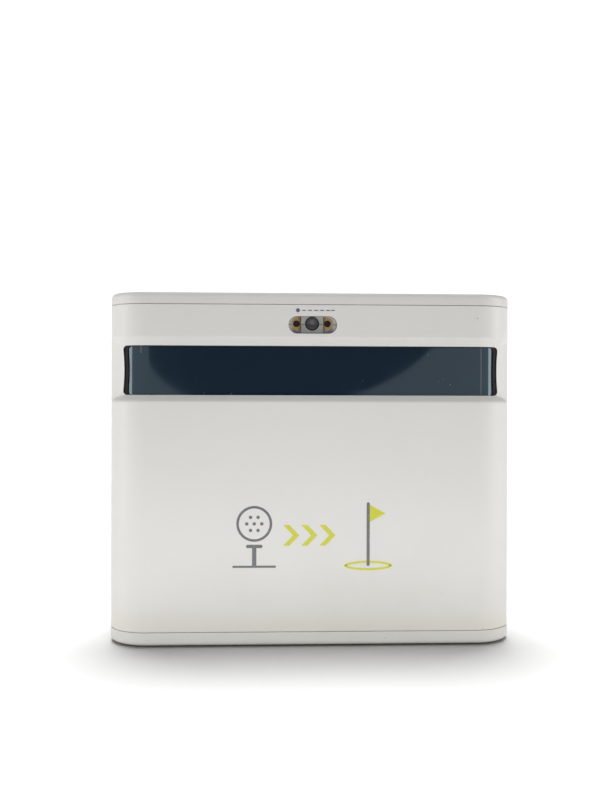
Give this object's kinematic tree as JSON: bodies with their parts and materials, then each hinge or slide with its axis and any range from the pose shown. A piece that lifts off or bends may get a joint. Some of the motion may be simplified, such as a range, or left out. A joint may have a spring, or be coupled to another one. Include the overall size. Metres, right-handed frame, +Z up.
{
  "type": "golf launch monitor",
  "caption": "Free-standing box-shaped golf launch monitor with a dark wrap-round camera window, a laser aperture above it, rear controls and levelling feet.",
  "frame": {"origin": "middle of the base, on the ground under the levelling feet", "axes": "+X to the right seen from the front, -Y out of the front face with the window, +Z up"},
  "size_m": [0.17, 0.0636, 0.1466],
  "materials": {
    "casing_white": "fine satin texture",
    "cap_white": "fine satin texture",
    "window_acrylic": "polished, passes infrared only",
    "gasket_foam": "closed-cell foam",
    "insert_grey": "moulded",
    "brass": "turned",
    "lens_glass": "coated",
    "foot_rubber": "matt",
    "foot_steel": "knurled",
    "button_grey": "satin",
    "light_pipe": "clear",
    "socket_steel": "plated",
    "screw_steel": "blackened",
    "chassis_aluminium": "brushed sheet",
    "heatsink_black": "anodised",
    "board_green": "solder mask",
    "chip_black": "moulded",
    "sensor_glass": "silicon under glass",
    "shield_steel": "plated can",
    "antenna_film": "copper on film",
    "capacitor_sleeve": "printed sleeve",
    "cell_wrap": null,
    "inner_black": "matt black",
    "strap_webbing": "woven",
    "lens_barrel_black": "anodised",
    "lamp_resin": "clear over phosphor",
    "wire_sleeve": "wire insulation",
    "ribbon_film": "flat cable"
  },
  "bodies": {
    "casing": {"front_shell": "casing_white", "rear_shell": "casing_white", "top_cap": "cap_white", "bottom_cap": "cap_white", "window": "window_acrylic", "window_gasket": "gasket_foam", "laser_clamp_upper": "insert_grey", "laser_clamp_lower": "insert_grey", "laser_inserts": "brass", "laser_barrel": "brass", "foot_inserts": "brass", "board_standoffs": "brass", "laser_lens": "lens_glass", "lens_front_element": "lens_glass", "lens_rear_element": "lens_glass", "light_pipes": "light_pipe", "usb_socket": "socket_steel", "shell_screws": "screw_steel", "base_screws": "screw_steel", "chassis_screws": "screw_steel", "board_screws": "screw_steel", "chassis": "chassis_aluminium", "heat_spreader": "chassis_aluminium", "camera_standoffs": "chassis_aluminium", "flash_heatsinks": "heatsink_black", "main_board": "board_green", "camera_board": "board_green", "flash_boards": "board_green", "io_board": "board_green", "laser_board": "board_green", "processor": "chip_black", "memory_chips": "chip_black", "tilt_sensor": "chip_black", "push_switches": "chip_black", "image_sensor": "sensor_glass", "wifi_module": "shield_steel", "wifi_antenna": "antenna_film", "flash_capacitors": "capacitor_sleeve", "battery_cells": "cell_wrap", "battery_tray": "inner_black", "lens_mount": "inner_black", "camera_shroud": "inner_black", "battery_strap": "strap_webbing", "lens_barrel": "lens_barrel_black", "flash_leds": "lamp_resin", "status_leds": "lamp_resin", "battery_leads": "wire_sleeve", "flash_leads": "wire_sleeve", "laser_leads": "wire_sleeve", "camera_ribbon": "ribbon_film", "io_ribbon": "ribbon_film"},
    "power_button": {"power_button": "button_grey"},
    "mode_button": {"mode_button": "button_grey"},
    "left_pad": {"foot_pad_left": "foot_rubber"},
    "left_thumb_wheel": {"foot_screw_left": "foot_steel"},
    "right_pad": {"foot_pad_right": "foot_rubber"},
    "right_thumb_wheel": {"foot_screw_right": "foot_steel"},
    "rear_pad": {"foot_pad_rear": "foot_rubber"},
    "rear_thumb_wheel": {"foot_screw_rear": "foot_steel"}
  },
  "joints": [
    {"name": "power_button_press", "type": "slide", "parent": "casing", "child": "power_button", "axis": [0, -1, 0], "range_m": [0, 0.0008], "stiffness_N_per_m": 3000, "springref_m": -0.0003},
    {"name": "mode_button_press", "type": "slide", "parent": "casing", "child": "mode_button", "axis": [0, -1, 0], "range_m": [0, 0.0008], "stiffness_N_per_m": 3000, "springref_m": -0.0003},
    {"name": "left_pad_slide", "type": "slide", "parent": "casing", "child": "left_pad", "axis": [0, 0, -1], "range_m": [0, 0.004]},
    {"name": "left_wheel_turn", "type": "hinge", "parent": "left_pad", "child": "left_thumb_wheel", "pos_m": [-0.06, -0.016, 0], "axis": [0, 0, -1], "range_deg": [0, 1800]},
    {"name": "right_pad_slide", "type": "slide", "parent": "casing", "child": "right_pad", "axis": [0, 0, -1], "range_m": [0, 0.004]},
    {"name": "right_wheel_turn", "type": "hinge", "parent": "right_pad", "child": "right_thumb_wheel", "pos_m": [0.06, -0.016, 0], "axis": [0, 0, -1], "range_deg": [0, 1800]},
    {"name": "rear_pad_slide", "type": "slide", "parent": "casing", "child": "rear_pad", "axis": [0, 0, -1], "range_m": [0, 0.004]},
    {"name": "rear_wheel_turn", "type": "hinge", "parent": "rear_pad", "child": "rear_thumb_wheel", "pos_m": [0, 0.017, 0], "axis": [0, 0, -1], "range_deg": [0, 1800]}
  ],
  "couplings": [
    {"joint": "left_pad_slide", "follows": "left_wheel_turn", "m_per_rad": 0.00012732},
    {"joint": "right_pad_slide", "follows": "right_wheel_turn", "m_per_rad": 0.00012732},
    {"joint": "rear_pad_slide", "follows": "rear_wheel_turn", "m_per_rad": 0.00012732}
  ]
}
